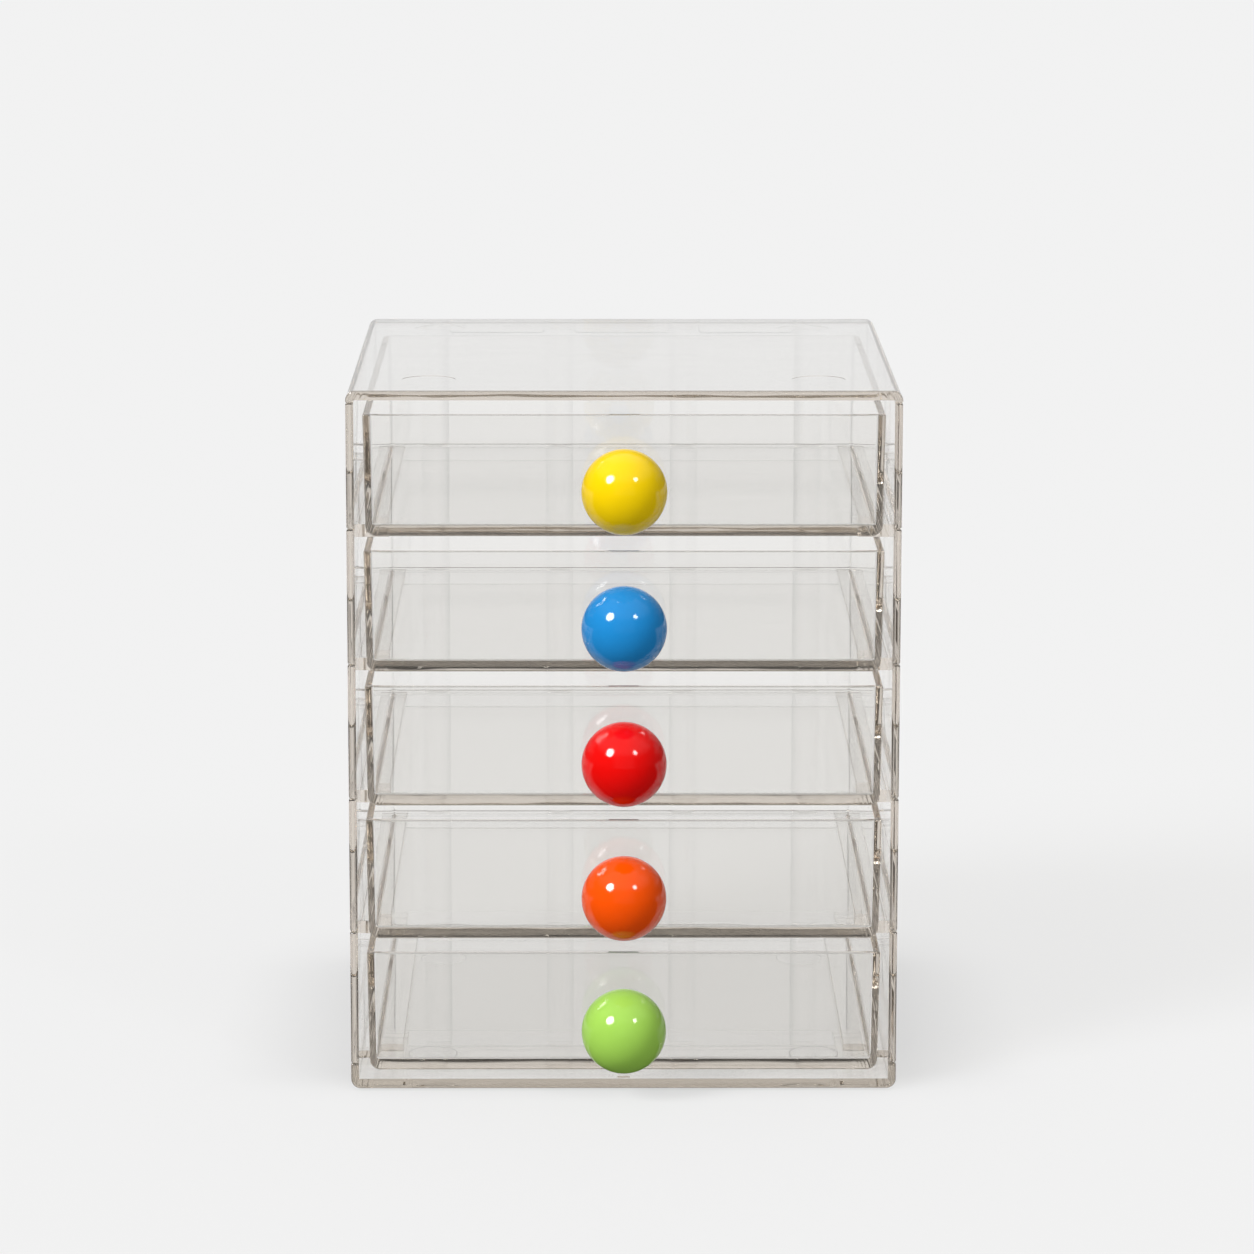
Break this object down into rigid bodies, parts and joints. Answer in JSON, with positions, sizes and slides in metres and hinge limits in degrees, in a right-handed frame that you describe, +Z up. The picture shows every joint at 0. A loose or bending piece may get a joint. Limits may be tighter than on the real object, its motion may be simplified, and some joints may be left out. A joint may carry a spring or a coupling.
{
  "type": "desk drawer organizer",
  "caption": "Clear plastic desktop organizer: a case of stacked frames with sliding open-top drawers, each pulled by a glossy coloured ball knob.",
  "frame": {"origin": "centre of the object's footprint box, knobs included, on the plane of the feet", "axes": "+Z up, the longest way; the drawers' fronts and knobs face -Y; +X to the right seen from the front"},
  "size_m": [0.175, 0.1988, 0.2272],
  "materials": {
    "clear_case": "clear polished plastic, faintly warm grey",
    "clear_tray": "clear polished plastic, faintly warm grey",
    "ball_yellow": "high gloss",
    "ball_blue": "high gloss",
    "ball_red": "high gloss",
    "ball_orange": "high gloss",
    "ball_green": "high gloss",
    "screw_steel": "zinc-plated"
  },
  "bodies": {
    "case": {"top_cover": "clear_case", "base_tray": "clear_case", "level_frame_1": "clear_case", "level_frame_2": "clear_case", "level_frame_3": "clear_case", "level_frame_4": "clear_case", "level_frame_5": "clear_case"},
    "drawer_1": {"drawer_tray_1": "clear_tray", "ball_knob_1": "ball_yellow", "knob_screw_1": "screw_steel"},
    "drawer_2": {"drawer_tray_2": "clear_tray", "ball_knob_2": "ball_blue", "knob_screw_2": "screw_steel"},
    "drawer_3": {"drawer_tray_3": "clear_tray", "ball_knob_3": "ball_red", "knob_screw_3": "screw_steel"},
    "drawer_4": {"drawer_tray_4": "clear_tray", "ball_knob_4": "ball_orange", "knob_screw_4": "screw_steel"},
    "drawer_5": {"drawer_tray_5": "clear_tray", "ball_knob_5": "ball_green", "knob_screw_5": "screw_steel"}
  },
  "joints": [
    {"name": "drawer_1_slide", "type": "slide", "parent": "case", "child": "drawer_1", "axis": [0, -1, 0], "range_m": [0, 0.12]},
    {"name": "drawer_2_slide", "type": "slide", "parent": "case", "child": "drawer_2", "axis": [0, -1, 0], "range_m": [0, 0.12]},
    {"name": "drawer_3_slide", "type": "slide", "parent": "case", "child": "drawer_3", "axis": [0, -1, 0], "range_m": [0, 0.12]},
    {"name": "drawer_4_slide", "type": "slide", "parent": "case", "child": "drawer_4", "axis": [0, -1, 0], "range_m": [0, 0.12]},
    {"name": "drawer_5_slide", "type": "slide", "parent": "case", "child": "drawer_5", "axis": [0, -1, 0], "range_m": [0, 0.12]}
  ]
}
